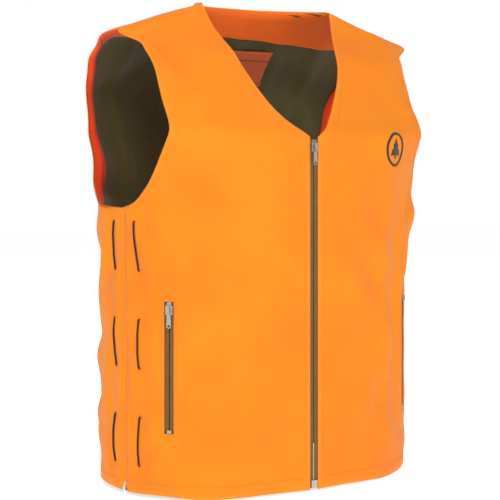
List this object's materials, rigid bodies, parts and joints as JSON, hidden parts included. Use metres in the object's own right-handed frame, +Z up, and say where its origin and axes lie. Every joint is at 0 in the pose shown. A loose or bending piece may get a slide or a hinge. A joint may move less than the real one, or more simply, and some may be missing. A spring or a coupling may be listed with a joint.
{
  "type": "hunting vest",
  "caption": "Sleeveless V-neck high-visibility field vest with a separating front zip, zipped hand pockets, side lacing and a lining.",
  "frame": {"origin": "centre of the bounding box, in the level of the hem", "axes": "+X towards the wearer's left, -Y to the front, +Z up from the hem to the neck"},
  "size_m": [0.5008, 0.3158, 0.7049],
  "materials": {
    "shell_fabric": "blaze orange polyester plain weave, matte",
    "facing_fabric": "blaze orange polyester, inner side",
    "armhole_fabric": "blaze orange bias tape, inner side",
    "lining_fabric": "olive taffeta with a soft sheen",
    "zip_tape": "woven taupe tape",
    "zip_coil": "nylon coil",
    "zip_metal": "nickel plate",
    "lace_cord": "braided elastic cord",
    "emblem_thread": "satin stitch embroidery",
    "label_fabric": "woven label"
  },
  "bodies": {
    "vest_body": {"back_panel": "shell_fabric", "right_front_panel": "shell_fabric", "left_front_panel": "shell_fabric", "back_neck_facing": "facing_fabric", "right_neck_facing": "facing_fabric", "left_neck_facing": "facing_fabric", "right_armhole_front_facing": "armhole_fabric", "right_armhole_back_facing": "armhole_fabric", "left_armhole_front_facing": "armhole_fabric", "left_armhole_back_facing": "armhole_fabric", "back_lining": "lining_fabric", "right_front_lining": "lining_fabric", "left_front_lining": "lining_fabric", "right_pocket_bag": "lining_fabric", "left_pocket_bag": "lining_fabric", "right_pocket_front_tape": "zip_tape", "right_pocket_rear_tape": "zip_tape", "right_pocket_front_coil": "zip_coil", "right_pocket_rear_coil": "zip_coil", "right_pocket_bottom_stop": "zip_metal", "right_pocket_top_stop": "zip_metal", "left_pocket_front_tape": "zip_tape", "left_pocket_rear_tape": "zip_tape", "left_pocket_front_coil": "zip_coil", "left_pocket_rear_coil": "zip_coil", "left_pocket_bottom_stop": "zip_metal", "left_pocket_top_stop": "zip_metal", "right_side_lace": "lace_cord", "left_side_lace": "lace_cord", "chest_emblem": "emblem_thread", "neck_label": "label_fabric"},
    "right_front": {"right_front_edge": "shell_fabric", "right_front_facing": "facing_fabric", "right_zip_tape": "zip_tape", "right_zip_coil": "zip_coil", "right_top_stop": "zip_metal"},
    "left_front": {"left_front_edge": "shell_fabric", "left_front_facing": "facing_fabric", "left_zip_tape": "zip_tape", "left_zip_coil": "zip_coil", "left_top_stop": "zip_metal", "retainer_box": "zip_metal"},
    "front_slider": {"zip_slider": "zip_metal"},
    "front_puller": {"zip_puller": "zip_metal"},
    "right_pocket_slider": {"right_pocket_slider": "zip_metal"},
    "right_pocket_puller": {"right_pocket_puller": "zip_metal"},
    "left_pocket_slider": {"left_pocket_slider": "zip_metal"},
    "left_pocket_puller": {"left_pocket_puller": "zip_metal"}
  },
  "joints": [
    {"name": "right_front_opens", "type": "hinge", "parent": "vest_body", "child": "right_front", "pos_m": [-0.085, -0.1516, 0.25], "axis": [0, 0, -1], "range_deg": [0, 75], "deforming": ["right_zip_tape", "right_zip_coil"]},
    {"name": "left_front_opens", "type": "hinge", "parent": "vest_body", "child": "left_front", "pos_m": [0.085, -0.1516, 0.25], "axis": [0, 0, 1], "range_deg": [0, 75]},
    {"name": "front_zip_slides", "type": "slide", "parent": "left_front", "child": "front_slider", "axis": [0, 0, -1], "range_m": [0, 0.46]},
    {"name": "front_puller_swings", "type": "hinge", "parent": "front_slider", "child": "front_puller", "pos_m": [0, -0.156, 0.485], "axis": [-1, 0, 0], "range_deg": [0, 160]},
    {"name": "right_pocket_zip_slides", "type": "slide", "parent": "vest_body", "child": "right_pocket_slider", "axis": [0, 0, -1], "range_m": [0, 0.158]},
    {"name": "right_pocket_puller_swings", "type": "hinge", "parent": "right_pocket_slider", "child": "right_pocket_puller", "pos_m": [-0.20333, -0.09781, 0.2605], "axis": [-0.7164, 0.6976, 0], "range_deg": [0, 160]},
    {"name": "left_pocket_zip_slides", "type": "slide", "parent": "vest_body", "child": "left_pocket_slider", "axis": [0, 0, -1], "range_m": [0, 0.158]},
    {"name": "left_pocket_puller_swings", "type": "hinge", "parent": "left_pocket_slider", "child": "left_pocket_puller", "pos_m": [0.20333, -0.09781, 0.2605], "axis": [-0.7164, -0.6976, 0], "range_deg": [0, 160]}
  ]
}
